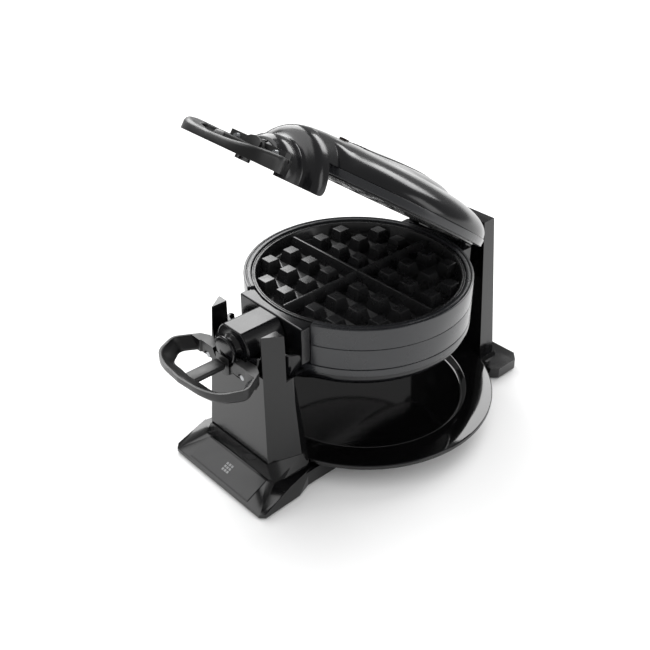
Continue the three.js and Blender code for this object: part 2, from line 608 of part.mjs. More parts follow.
function addRearPost() {
  const { bottom, top, wall, shell } = rearPost;
  const front = { low: behind(26.3), high: behind(17.2) };
  const back = { low: front.low + 20.6, high: front.high + 15 };
  const slab = (near, far, z0, z1, lowX, highX) => hull([
    [lowX, near.low, z0], [lowX, far.low, z0], [highX, near.high, z1], [highX, far.high, z1],
  ]);
  const shift = (face, by) => ({ low: face.low + by, high: face.high + by });
  const seam = { low: front.low + shell, high: front.high + shell - 1 };
  const frontShell = cut(
    slab(front, seam, bottom, top, 46, 42),
    slab(shift(front, wall), shift(seam, 5), bottom + wall, top - wall, 46 - wall, 42 - wall),
  );
  const boss = rodY(bush.radius + 4, bush.startY - 1.1, bush.endY, 0, axisHeight, 32);
  const bore = rodY(bush.radius + gap, bush.startY - 20, bush.endY + 15, 0, axisHeight);
  const foot = join(...[-1, 1].map((s) => {
    const x = s * rearScrew.x;
    return box(x - 6, x + 6, rearScrew.y - 6.5, rearScrew.y - 0.4, bottom, bottom + 16);
  }));
  const faceAt = (face, z) => face.low + (face.high - face.low) * (z - bottom) / (top - bottom);
  const posts = join(...coverScrew.heights.map((z) => (
    rodY(4.5, faceAt(front, z) + 1, seam.low, coverScrew.x, z, 12)
  )));
  const postHoles = coverScrew.heights.map((z) => (
    rodY(holeRadius, faceAt(front, z) + wall, back.low + 14, coverScrew.x, z, 10)
  ));
  const footHoles = [-1, 1].map((s) => rodZ(holeRadius, 0, bottom + 13, s * rearScrew.x, rearScrew.y, 12));
  const inside = slab(front, shift(seam, -gap), bottom, top, 46, 42);
  const postBody = join(frontShell, boss, foot, posts).intersect(inside);
  mesh('rear_post', cut(postBody, bore, ...postHoles, ...footHoles), glossBlack, machine);

  const coverFront = shift(seam, 2 * gap);
  const coverShell = cut(
    slab(coverFront, back, bottom, top - 0.6, 45, 41),
    slab(shift(coverFront, -5), shift(back, -wall), bottom + wall, top - wall - 0.6, 45 - wall, 41 - wall),
  );
  const glandSpot = { z: 36, y: back.low - 1.8 };
  const glandHole = rodY(6 + gap, back.low - 26, back.low + 24, 0, glandSpot.z, 24);
  const coverHoles = coverScrew.heights.map((z) => (
    rodY(holeRadius, back.low - 46, back.low + 24, coverScrew.x, z, 10)
  ));
  mesh('rear_post_cover', cut(coverShell, glandHole, ...coverHoles), satinBlack, machine);

  const gland = cut(
    join(
      rodY(6, glandSpot.y - 5, glandSpot.y + 3, 0, glandSpot.z, 24),
      rodY(8.4, glandSpot.y + 1.3, glandSpot.y + 4.3, 0, glandSpot.z, 24),
    ),
    rodY(3.5, back.low - 46, back.low + 24, 0, glandSpot.z, 16),
  );
  mesh('cord_gland', gland, rubber, machine);

  const sleeve = cut(
    rodY(bush.radius, bush.startY, bush.endY, 0, axisHeight),
    rodY(trunnion.radius + gap, bush.startY - 20, bush.endY + 15, 0, axisHeight, 32),
  );
  mesh('rear_bearing', sleeve, nylon, machine);
  mesh('terminal_block', box(-34, -14, front.low + 0.3, front.low + 9.8, 70, 84), ceramic, machine);

  for (const [place, s] of [['left', -1], ['right', 1]]) {
    const turn = new THREE.Matrix4().makeRotationX(Math.PI);
    turn.setPosition(s * rearScrew.x, rearScrew.y, rearScrew.seat + rearScrew.length);
    mesh(`rear_post_screw_${place}`, moved(screwSolid(rearScrew.length), turn), steel, machine);
  }
  coverScrew.heights.forEach((z, i) => {
    const turn = new THREE.Matrix4().makeRotationX(-Math.PI / 2);
    turn.setPosition(coverScrew.x, faceAt(back, z) + gap + 0.2 - coverScrew.length, z);
    const name = `rear_cover_screw_${['lower', 'upper'][i]}`;
    mesh(name, moved(screwSolid(coverScrew.length), turn), steel, machine);
  });
}

addDrumCentre();
addLid('upper');
addLid('lower');
addBase();
addFrontPost();
addRearPost();

// The origin is under the middle of the whole length, from the handle's tip to the rear foot's end.
machine.position.y = -(handle.frontY + footEnds.rearY) / 2;
const waffleMaker = new THREE.Group();
waffleMaker.add(machine);

export default waffleMaker;
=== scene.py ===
# Rotary waffle maker: a turning drum with domed lids, its two posts, base and drip tray.
# Lengths in the dictionaries are millimetres. Heights of drum and lid pieces count from the drum's axis.
import json
import math

import bmesh
import bpy
from mathutils import Matrix, Vector


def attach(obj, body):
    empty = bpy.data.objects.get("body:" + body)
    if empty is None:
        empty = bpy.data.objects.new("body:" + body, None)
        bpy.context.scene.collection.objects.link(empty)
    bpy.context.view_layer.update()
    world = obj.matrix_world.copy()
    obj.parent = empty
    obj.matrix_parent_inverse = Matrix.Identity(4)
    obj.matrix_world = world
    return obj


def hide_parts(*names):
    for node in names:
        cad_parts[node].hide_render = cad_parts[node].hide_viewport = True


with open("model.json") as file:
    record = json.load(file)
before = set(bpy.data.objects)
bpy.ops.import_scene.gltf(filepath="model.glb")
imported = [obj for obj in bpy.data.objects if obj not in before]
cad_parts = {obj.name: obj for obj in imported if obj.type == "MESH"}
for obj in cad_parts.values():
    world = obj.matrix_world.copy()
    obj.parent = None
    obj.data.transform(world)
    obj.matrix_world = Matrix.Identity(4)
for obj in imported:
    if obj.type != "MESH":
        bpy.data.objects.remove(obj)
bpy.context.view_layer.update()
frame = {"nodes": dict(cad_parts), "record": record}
scene = bpy.context.scene
mm = 0.001

joints = {joint["name"]: joint for joint in frame["record"]["behaviour"]["joints"]}
drumAxis = Vector(joints["drum_flip"]["pos_m"])
lidHinge = Vector(joints["upper_lid_hinge"]["pos_m"])
lidOpening = math.radians(-joints["upper_lid_hinge"]["range_deg"][0])

# Where a drum piece or a lid piece goes after it is made about the axis, with the lids shut.
onAxis = Matrix.Translation(drumAxis)
turnedOver = onAxis @ Matrix.Rotation(math.pi, 4, "Y")
lidSwing = Matrix.Translation(lidHinge) @ Matrix.Rotation(-lidOpening, 4, "X") @ Matrix.Translation(-lidHinge)
lidPlaces = {"upper": lidSwing @ onAxis, "lower": turnedOver}
lidBodies = {"upper": "upper_lid", "lower": "drum"}


def linearColour(hexColour):
    channels = [int(hexColour[i:i + 2], 16) / 255 for i in (1, 3, 5)]
    return [c / 12.92 if c <= 0.04045 else ((c + 0.055) / 1.055) ** 2.4 for c in channels] + [1.0]


def addNode(tree, kind, settings=None, links=None):
    node = tree.nodes.new(kind)
    for key, value in (settings or {}).items():
        if key in node.inputs:
            node.inputs[key].default_value = value
        else:
            setattr(node, key, value)
    for key, source in (links or {}).items():
        tree.links.new(source, node.inputs[key])
    return node


def addNoise(tree, place, size, detail):
    # cloudy noise with patches about this many millimetres across
    settings = {"Scale": 1 / (size * mm), "Detail": detail}
    return addNode(tree, "ShaderNodeTexNoise", settings, {"Vector": place})


def newFinish(name, look):
    material = bpy.data.materials.new(name)
    material.use_nodes = True
    tree = material.node_tree
    tree.nodes.clear()
    place = addNode(tree, "ShaderNodeTexCoord").outputs["Object"]
    cloud = addNoise(tree, place, look["cloud"], 3.0)
    colour = addNode(tree, "ShaderNodeMix", {"data_type": "RGBA"}, {"Factor": cloud.outputs["Fac"]})
    colour.inputs[6].default_value = linearColour(look["colour"])
    colour.inputs[7].default_value = linearColour(look["second"])
    low, high = look["roughness"]
    smear = addNoise(tree, place, look["smear"], 4.0)
    rough = addNode(tree, "ShaderNodeMapRange",
                    {"From Min": 0.3, "From Max": 0.7, "To Min": low, "To Max": high},
                    {"Value": smear.outputs["Fac"]})
    grain = addNoise(tree, place, look["grain"], 2.0)
    bump = addNode(tree, "ShaderNodeBump", {"Strength": look["bump"], "Distance": look["depth"] * mm},
                   {"Height": grain.outputs["Fac"]})
    shader = addNode(tree, "ShaderNodeBsdfPrincipled", {"Metallic": look.get("metallic", 0.0)},
                     {"Base Color": colour.outputs[2], "Roughness": rough.outputs["Result"],
                      "Normal": bump.outputs["Normal"]})
    for socket, value in look.get("sockets", {}).items():
        shader.inputs[socket].default_value = value
    addNode(tree, "ShaderNodeOutputMaterial", {}, {"Surface": shader.outputs["BSDF"]})
    return material


finishLooks = {
    # drawn steel under satin enamel: dark grey with a broad soft highlight
    "satin_enamel_band": {
        "slot": "band_grey", "colour": "#1d1e20", "second": "#242528", "cloud": 60, "smear": 25,
        "roughness": (0.25, 0.32), "grain": 0.9, "bump": 0.08, "depth": 0.03,
        "sockets": {"Coat Weight": 0.25, "Coat Roughness": 0.15}},
    # cast aluminium under a fired non-stick coat: near black, fine grit, soft gloss on the edges
    "non_stick_cast_aluminium": {
        "slot": "non_stick", "colour": "#161617", "second": "#1e1e1f", "cloud": 3, "smear": 12,
        "roughness": (0.2, 0.3), "grain": 0.7, "bump": 0.14, "depth": 0.04, "sockets": {"IOR": 1.6}},
    # moulded ABS from a fine-textured mould: black with a satin sheen
    "satin_abs": {
        "slot": "satin_black", "colour": "#0b0b0d", "second": "#101012", "cloud": 40, "smear": 18,
        "roughness": (0.17, 0.23), "grain": 0.6, "bump": 0.05, "depth": 0.02},
    # moulded ABS from a sparked mould: fine and dull where fingers hold it
    "textured_grip": {
        "slot": "satin_black", "colour": "#09090a", "second": "#0e0e0f", "cloud": 20, "smear": 10,
        "roughness": (0.34, 0.42), "grain": 0.5, "bump": 0.2, "depth": 0.04},
    # moulded ABS from a polished mould: deep black that mirrors its surroundings
    "polished_abs": {
        "slot": "gloss_black", "colour": "#060607", "second": "#09090a", "cloud": 80, "smear": 30,
        "roughness": (0.1, 0.15), "grain": 2.5, "bump": 0.05, "depth": 0.03},
    # tray of the same plastic, polished further
    "mirror_black_tray": {
        "slot": "tray_black", "colour": "#050505", "second": "#070708", "cloud": 80, "smear": 40,
        "roughness": (0.04, 0.07), "grain": 4.0, "bump": 0.03, "depth": 0.03},
    # turned and ground steel
    "ground_steel": {
        "slot": "bare_steel", "colour": "#8d8f91", "second": "#a5a7a9", "cloud": 4, "smear": 6,
        "metallic": 1.0, "roughness": (0.25, 0.38), "grain": 0.4, "bump": 0.1, "depth": 0.02},
    # rolled aluminium sheet as it leaves the mill
    "mill_aluminium": {
        "slot": "bare_aluminium", "colour": "#b4b6b9", "second": "#c8cacc", "cloud": 20, "smear": 10,
        "metallic": 1.0, "roughness": (0.3, 0.42), "grain": 0.8, "bump": 0.1, "depth": 0.02},
    # glazed steatite body
    "steatite": {
        "slot": "ceramic_white", "colour": "#d6d0c2", "second": "#e2ddd1", "cloud": 10, "smear": 8,
        "roughness": (0.4, 0.55), "grain": 0.5, "bump": 0.1, "depth": 0.03},
    # plain moulded nylon, slightly waxy
    "natural_nylon": {
        "slot": "nylon_grey", "colour": "#2c2c2d", "second": "#343435", "cloud": 15, "smear": 8,
        "roughness": (0.45, 0.55), "grain": 0.7, "bump": 0.1, "depth": 0.03},
    # moulded rubber: dull, dusty black
    "moulded_rubber": {
        "slot": "rubber_black", "colour": "#141414", "second": "#1d1d1d", "cloud": 6, "smear": 6,
        "roughness": (0.7, 0.85), "grain": 0.8, "bump": 0.3, "depth": 0.06},
    # smoked polycarbonate lens over an unlit lamp
    "smoked_lens": {
        "slot": "smoked_lens", "colour": "#1a120c", "second": "#20160e", "cloud": 8, "smear": 8,
        "roughness": (0.08, 0.14), "grain": 2.0, "bump": 0.02, "depth": 0.02},
    # pad-printed grey ink
    "grey_ink": {
        "slot": "satin_black", "colour": "#8a8b8c", "second": "#939495", "cloud": 3, "smear": 4,
        "roughness": (0.45, 0.55), "grain": 0.5, "bump": 0.05, "depth": 0.02},
}
finishes = {name: newFinish(name, look) for name, look in finishLooks.items()}
print("finishes made:", len(finishes))


def addPiece(name, bm, finish, body, nodes=(), place=None, sharp=35):
    if place is not None:
        bmesh.ops.transform(bm, matrix=place, verts=bm.verts)
        bmesh.ops.recalc_face_normals(bm, faces=bm.faces)
    mesh = bpy.data.meshes.new(name)
    bm.to_mesh(mesh)
    bm.free()
    mesh.shade_smooth()
    mesh.set_sharp_from_angle(angle=math.radians(sharp))
    mesh.materials.append(finishes[finish])
    piece = bpy.data.objects.new(name, mesh)
    scene.collection.objects.link(piece)
    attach(piece, body)
    if nodes:
        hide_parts(*nodes)
    return piece


def softenEdges(piece, width, segments=3, angle=28):
    bevel = piece.modifiers.new("soft edges", "BEVEL")
    bevel.width = width * mm
    bevel.segments = segments
    bevel.limit_method = "ANGLE"
    bevel.angle_limit = math.radians(angle)
    bevel.harden_normals = True


def mouldedCopy(name, node, finish, body, width, weld=0.05):
    # the frame's own shape with the small radii that a mould leaves on every edge
    bm = bmesh.new()
    bm.from_mesh(frame["nodes"][node].data)
    bmesh.ops.remove_doubles(bm, verts=bm.verts, dist=weld * mm)
    bmesh.ops.dissolve_limit(bm, angle_limit=math.radians(1.5), verts=bm.verts, edges=bm.edges)
    piece = addPiece(name, bm, finish, body, [node])
    softenEdges(piece, width)
    return piece


def softCorners(corners, steps=4):
    # [across, up] or [across, up, softness]: a soft corner becomes a short curve
    points = []
    for i, corner in enumerate(corners):
        here = Vector(corner[:2])
        if len(corner) < 3:
            points.append(here)
            continue
        before, after = Vector(corners[i - 1][:2]), Vector(corners[(i + 1) % len(corners)][:2])
        start = here + (before - here).normalized() * corner[2]
        end = here + (after - here).normalized() * corner[2]
        for step in range(steps + 1):
            t = step / steps
            points.append(start * (1 - t) ** 2 + here * 2 * t * (1 - t) + end * t * t)
    return points


def fillHoles(bm):
    bmesh.ops.holes_fill(bm, edges=[edge for edge in bm.edges if edge.is_boundary], sides=0)


def cutOff(bm, point, way):
    # takes away what lies past a plane and closes the cut
    bmesh.ops.bisect_plane(bm, geom=bm.verts[:] + bm.edges[:] + bm.faces[:], plane_co=point, plane_no=way,
                           clear_outer=True)
    fillHoles(bm)


def thicken(bm, wall):
    # turns a sheet's faces upwards and gives it a wall
    bmesh.ops.recalc_face_normals(bm, faces=bm.faces)
    if sum(face.normal.z for face in bm.faces) < 0:
        bmesh.ops.reverse_faces(bm, faces=bm.faces)
    bmesh.ops.solidify(bm, geom=bm.faces, thickness=wall * mm)


def spun(corners, closed=True, sides=160, start=0.0, sweep=360.0):
    bm = bmesh.new()
    verts = [bm.verts.new((point.x * mm, 0, point.y * mm)) for point in softCorners(corners)]
    pairs = list(zip(verts, verts[1:]))
    if closed:
        pairs.append((verts[-1], verts[0]))
    edges = [bm.edges.new(pair) for pair in pairs]
    bmesh.ops.rotate(bm, cent=(0, 0, 0), matrix=Matrix.Rotation(math.radians(start), 3, "Z"), verts=verts)
    whole = sweep >= 360
    bmesh.ops.spin(bm, geom=verts + edges, cent=(0, 0, 0), axis=(0, 0, 1), angle=math.radians(sweep),
                   steps=sides, use_merge=whole)
    bmesh.ops.remove_doubles(bm, verts=bm.verts, dist=1e-7)
    if closed and not whole:
        fillHoles(bm)
    return bm


def addBlock(bm, low, high, taper=0.0, bevel=0.0, segments=2):
    # a box from its lowest to its highest corner; taper pulls the top in
    verts = bmesh.ops.create_cube(bm, size=1)["verts"]
    middle = (Vector(low) + Vector(high)) / 2
    half = (Vector(high) - Vector(low)) / 2
    for vert in verts:
        shrink = taper if vert.co.z > 0 else 0.0
        sides = [math.copysign(1, part) for part in vert.co]
        vert.co = Vector((
            middle.x + sides[0] * (half.x - shrink),
            middle.y + sides[1] * (half.y - shrink),
            middle.z + sides[2] * half.z,
        )) * mm
    if bevel:
        edges = {edge for vert in verts for edge in vert.link_edges}
        bmesh.ops.bevel(bm, geom=list(edges), offset=bevel * mm, offset_type="OFFSET", segments=segments,
                        profile=0.5, affect="EDGES", material=-1)


def addRod(bm, radius, start, end, sides=48):
    # a round bar between two points
    start, end = Vector(start), Vector(end)
    turn = (end - start).to_track_quat("Z", "Y").to_matrix().to_4x4()
    place = Matrix.Translation((start + end) / 2 * mm) @ turn
    bmesh.ops.create_cone(bm, cap_ends=True, segments=sides, radius1=radius * mm, radius2=radius * mm,
                          depth=(end - start).length * mm, matrix=place)


drum = {
    "radius": 99.4, "half": 19.05, "seam": 0.15, "inner": 92.9, "shelf": 85.5, "shelfTop": 3.2,
    "windowAngle": 23.6, "groove": 0.8,
}


def makeDrumBand(side, place):
    r, top = drum["radius"], drum["half"]
    grooveFloor = top - drum["groove"]
    corners = [
        [drum["shelf"], drum["seam"]], [r, drum["seam"], 0.5], [r, top, 1.0],
        [r - 2.2, top, 0.3], [r - 2.5, grooveFloor, 0.2], [r - 3.3, grooveFloor, 0.2], [r - 3.6, top, 0.3],
        [drum["inner"], top, 0.5], [drum["inner"], drum["shelfTop"]], [drum["shelf"], drum["shelfTop"]],
    ]
    window = drum["windowAngle"]
    bm = spun(corners, start=window - 90, sweep=360 - 2 * window, sides=180)
    addPiece(f"{side}_band", bm, "satin_enamel_band", "drum", [f"{side}_drum_band"], place)


for side, place in (("upper", onAxis), ("lower", turnedOver)):
    makeDrumBand(side, place)
print("drum bands made")

plate = {
    "radius": 92.4, "well": 89, "floorRadius": 85.5, "peg": 11, "floorWall": 2, "shoulder": 6.7,
    "pitch": 24.7, "first": 18.3, "topHalf": 5.3, "baseHalf": 8, "edge": 0.4,
    "ribTop": 1.0, "ribBase": 4.0, "rim": 17.5, "rimGroove": 0.6, "lidGap": 0.3,
}


def makePlate(name, body, node, place, tipDrop):
    floor = -tipDrop - plate["peg"]
    back = floor - plate["floorWall"]
    r, well, groove = plate["radius"], plate["well"], plate["rimGroove"]
    bm = spun([
        [0, back], [plate["floorRadius"] + 2, back, 1.5], [r, -plate["shoulder"], 1.0], [r, 0, 0.5],
        [r - 1.1, 0, 0.2], [r - 1.3, -groove, 0.1], [r - 1.9, -groove, 0.1], [r - 2.1, 0, 0.2],
        [well, 0, 0.6], [plate["floorRadius"], floor, 2.5], [0, floor],
    ], closed=False)
    tip, root = -tipDrop, floor - plate["floorWall"] / 2
    for i in range(3):
        for j in range(3):
            x, y = plate["first"] + i * plate["pitch"], plate["first"] + j * plate["pitch"]
            if math.hypot(x, y) > well - plate["topHalf"]:
                continue
            for sideX, sideY in ((1, 1), (1, -1), (-1, 1), (-1, -1)):
                low = (sideX * x - plate["baseHalf"], sideY * y - plate["baseHalf"], root)
                high = (sideX * x + plate["baseHalf"], sideY * y + plate["baseHalf"], tip)
                addBlock(bm, low, high, plate["baseHalf"] - plate["topHalf"], plate["edge"])
    for halfX, halfY in ((plate["ribBase"], well - 1), (well - 1, plate["ribBase"])):
        addBlock(bm, (-halfX, -halfY, root), (halfX, halfY, tip),
                 plate["ribBase"] - plate["ribTop"], plate["edge"])
    piece = addPiece(name, bm, "non_stick_cast_aluminium", body, [node], place, sharp=40)
    # keeps the pegs' faces flat between their soft edges
    piece.modifiers.new("flat faces", "WEIGHTED_NORMAL").keep_sharp = True


plateUp = onAxis @ Matrix.Translation((0, 0, plate["rim"] * mm))
makePlate("centre_waffle_plate", "drum", "upper_centre_plate", plateUp, 1.0)
plateTop = Matrix.Translation((0, 0, (plate["rim"] + plate["lidGap"]) * mm))
faceDown = plateTop @ Matrix.Rotation(math.pi, 4, "Y")
makePlate("lid_waffle_plate", "upper_lid", "upper_lid_plate", lidPlaces["upper"] @ faceDown, 0.5)
print("waffle plates made")

hub = {
    "radius": 20.3, "flat": 17, "front": -138.6, "rear": -100.2,
    # waisted boss that the handles close round: [radius, distance ahead of the hub]
    "boss": [[0, -1], [12, -1], [12, 0, 0.8], [8.8, 3.6, 1.4], [12.6, 6.6, 1.2], [12.2, 8.6, 1.4], [0, 9.6]],
}


def makeHub():
    bm = bmesh.new()
    addRod(bm, hub["radius"], (0, hub["rear"], 0), (0, hub["front"], 0), 96)
    flat = hub["flat"] * mm
    for vert in bm.verts:
        vert.co.z = max(-flat, min(flat, vert.co.z))
    bmesh.ops.remove_doubles(bm, verts=bm.verts, dist=1e-6)
    piece = addPiece("hub_body", bm, "satin_abs", "drum", ["hub"], onAxis)
    softenEdges(piece, 1.4, 4, 40)
    ahead = Matrix.Translation((0, hub["front"] * mm, 0)) @ Matrix.Rotation(math.pi / 2, 4, "X")
    addPiece("hub_boss", spun(hub["boss"], closed=False, sides=96), "satin_abs", "drum", [], onAxis @ ahead)


makeHub()
for node, width in (("front_housing", 1.6), ("rear_housing", 0.8)):
    mouldedCopy(f"{node}_shell", node, "satin_abs", "drum", width)
print("hub and housings made")


cover = {
    "bottom": 26.05, "radius": 98.4, "height": 24, "wall": 2.4, "blend": 3.0,
    # how square the dome, the back's cross-section, the back's edge and the blend are
    "power": 4.0, "backPower": 2.2, "edgePower": 24, "blendPower": 6,
    # long back over the dome: [y, half width, height]
    "back": [[-105, 42, 45], [-75, 42, 47.4], [-45, 41.5, 50.2], [0, 39, 54.9], [40, 36, 57.2],
             [62, 33, 57.1], [80, 26, 55.6], [90, 18, 51.0], [96, 9, 42], [99, 2, 28]],
}


def along(sections, y):
    # smooth values between sections, each a place followed by its values
    places = [section[0] for section in sections]
    y = max(places[0], min(places[-1], y))
    i = max(k for k in range(len(sections) - 1) if places[k] <= y)
    span = places[i + 1] - places[i]
    t = (y - places[i]) / span
    startWeight, endWeight = 2 * t ** 3 - 3 * t ** 2 + 1, 3 * t ** 2 - 2 * t ** 3
    startPull, endPull = t ** 3 - 2 * t ** 2 + t, t ** 3 - t ** 2

    def slopeAt(k, part):
        low, high = max(k - 1, 0), min(k + 1, len(sections) - 1)
        return (sections[high][part] - sections[low][part]) / (places[high] - places[low])

    values = []
    for part in range(1, len(sections[0])):
        a, b = sections[i][part], sections[i + 1][part]
        bend = span * (slopeAt(i, part) * startPull + slopeAt(i + 1, part) * endPull)
        values.append(a * startWeight + b * endWeight + bend)
    return values


def coverHeight(x, y):
    outward = min(math.hypot(x, y) / cover["radius"], 1.0)
    dome = cover["height"] * math.sqrt(1 - outward ** cover["power"])
    halfWidth, height = along(cover["back"], y)
    inside = max(0.0, 1 - abs(x / halfWidth) ** cover["backPower"])
    back = (height - cover["bottom"]) * inside ** (1 / cover["backPower"])
    # the back also comes down to the rim, and the blend fades out there
    edge = math.sqrt(max(0.0, 1 - outward ** cover["edgePower"]))
    fade = 1 - outward ** cover["blendPower"]
    soft = math.sqrt((dome - back * edge) ** 2 + cover["blend"] ** 2 * fade)
    return cover["bottom"] + (dome + back * edge + soft) / 2 - cover["blend"] / 2 * fade


def makeDome(side):
    rings = 44
    corners = []
    for ring in range(rings + 1):
        inward = 1 - ring / rings
        corners.append([cover["radius"] * (1 - inward ** 2.0), 0])
    bm = spun(corners, closed=False, sides=192)
    for vert in bm.verts:
        vert.co.z = coverHeight(vert.co.x / mm, vert.co.y / mm) * mm
    thicken(bm, cover["wall"])
    addPiece(f"{side}_dome", bm, "satin_abs", lidBodies[side], [f"{side}_lid_cover"], lidPlaces[side])


arm = {
    "wall": 2.2, "bottom": 0.6, "step": -104.5, "corner": 5.0, "seamTop": -46, "seamSide": -74,
    "lip": 21.2, "gap": 0.05,
    # [y, half width, height], from the mouth round the hub to the seam on the dome
    "sections": [[-138.6, 23.4, 23.4], [-134, 27.4, 27.4], [-128, 29.2, 29.2], [-120, 29.8, 29.8],
                 [-118, 30.8, 30.8], [-116.5, 34, 34], [-115, 38.5, 38.5], [-112, 41.5, 41.6],
                 [-108, 42.8, 43.4], [-102, 43.2, 44.8], [-88, 43.2, 46.6], [-67, 42.2, 47.9],
                 [-40, 41, 49.6]],
}


def makeArm(side):
    # the front rows go round the hub, the others run on up to the seam
    rows, columns, frontRows = 60, 48, 36
    mouth = arm["sections"][0][0]
    seamStart = arm["step"] + arm["gap"]
    bm = bmesh.new()
    bmesh.ops.create_grid(bm, x_segments=columns, y_segments=rows, size=1)
    for vert in bm.verts:
        around, way = (vert.co.x + 1) / 2, (vert.co.y + 1) / 2
        row = round(way * rows)
        if row == 0:
            y, halfWidth, height = mouth, arm["lip"], arm["lip"]
        elif row <= frontRows:
            y = mouth + (arm["step"] - mouth) * (row - 1) / (frontRows - 1)
            halfWidth, height = along(arm["sections"], y)
        else:
            tilt = math.sin(math.pi * around)
            end = arm["seamSide"] + (arm["seamTop"] - arm["seamSide"]) * tilt ** 1.5
            y = seamStart + (end - seamStart) * (row - frontRows - 1) / (rows - frontRows - 1)
            halfWidth, height = along(arm["sections"], y)
        past = max(0.0, y - arm["step"] + arm["corner"])
        rounding = arm["corner"] - math.sqrt(max(0.0, arm["corner"] ** 2 - past ** 2))
        bottom = arm["bottom"] + rounding if row <= frontRows else cover["bottom"]
        lowest = math.asin(min(1.0, bottom / height))
        angle = lowest + (math.pi - 2 * lowest) * around
        vert.co = Vector((halfWidth * math.cos(angle), y, height * math.sin(angle))) * mm
    thicken(bm, arm["wall"])
    addPiece(f"{side}_arm", bm, "satin_abs", lidBodies[side], [], lidPlaces[side], sharp=50)


inlay = {"front": -45, "rear": 62, "halfWidth": 11, "ridges": 5, "lift": 0.5, "ridge": 0.35, "wall": 1.2}


def makeInlay(side):
    # a long pointed leaf with fine ridges let into the top of the back
    rows, columns = 60, 40
    bm = bmesh.new()
    bmesh.ops.create_grid(bm, x_segments=columns, y_segments=rows, size=1)
    for vert in bm.verts:
        across, way = vert.co.x, (vert.co.y + 1) / 2
        y = inlay["front"] + (inlay["rear"] - inlay["front"]) * way
        x = across * inlay["halfWidth"] * max(0.02, 1 - way ** 1.7)
        wave = abs(math.cos(across * math.pi * inlay["ridges"] / 2))
        z = coverHeight(x, y) + inlay["lift"] + inlay["ridge"] * wave * (1 - way)
        vert.co = Vector((x, y, z)) * mm
    thicken(bm, inlay["wall"])
    addPiece(f"{side}_inlay", bm, "polished_abs", lidBodies[side], [], lidPlaces[side], sharp=50)


rim = {
    "bottom": 19.35, "top": 25.75, "knuckle": 5.5, "knuckleHalf": 28.6, "knuckleRoot": 95,
    "hingeY": 106.4, "hingeUp": 26.8,
}


def makeRim(side):
    r = drum["radius"]
    bm = spun([
        [drum["inner"], rim["bottom"], 0.4], [r, rim["bottom"], 0.7], [r, rim["top"], 0.7],
        [drum["inner"], rim["top"], 0.4],
    ], sides=192)
    half = rim["knuckleHalf"]
    addRod(bm, rim["knuckle"], (-half, rim["hingeY"], rim["hingeUp"]), (half, rim["hingeY"], rim["hingeUp"]))
    addBlock(bm, (-half, rim["knuckleRoot"], rim["bottom"] + 1),
             (half, rim["hingeY"], rim["top"] - 0.2), bevel=0.5)
    addPiece(f"{side}_rim", bm, "satin_enamel_band", lidBodies[side], [f"{side}_lid_rim"], lidPlaces[side])


grip = {
    "middle": -164.6, "lip": 3.1, "join": -149.8, "gap": 0.1, "steps": 144,
    "neck": 7, "neckFront": -183, "neckBottom": 8, "neckTop": 13.6,
    "outer": [[0, -192.6], [26, -190.2, 9], [41, -182.5, 7], [49.6, -162.6, 5], [37.8, -142.7, 4],
              [18, -138.9]],
    "inner": [[0, -181.5], [27, -178, 6], [40, -162.6, 6], [30, -147, 4], [18, -146]],
    # [y, height of the outer face]
    "heights": [[-192.6, 9.6], [-184, 12.6], [-168, 14.6], [-138.9, 14.6]],
    # round the bar: [way in from the edge, way up from the lip]
    "section": [[0, 0], [0, 0.66], [0.06, 0.86], [0.16, 0.97], [0.3, 1.0], [0.82, 0.97], [0.95, 0.92],
                [1.0, 0.84], [1.0, 0.74], [0.88, 0.62], [0.5, 0.34], [0.26, 0.12], [0.2, 0.02], [0.14, 0]],
}


def reach(points, angle):
    # how far a closed outline lies from the grip's middle in one direction
    way = Vector((math.cos(angle), math.sin(angle)))
    middle = Vector((0, grip["middle"]))
    for a, b in zip(points, points[1:] + points[:1]):
        side = b - a
        crossing = way.x * side.y - way.y * side.x
        if abs(crossing) < 1e-9:
            continue
        offset = a - middle
        far = (offset.x * side.y - offset.y * side.x) / crossing
        share = (offset.x * way.y - offset.y * way.x) / crossing
        if far > 0 and -1e-6 <= share <= 1 + 1e-6:
            return far
    return 0.0


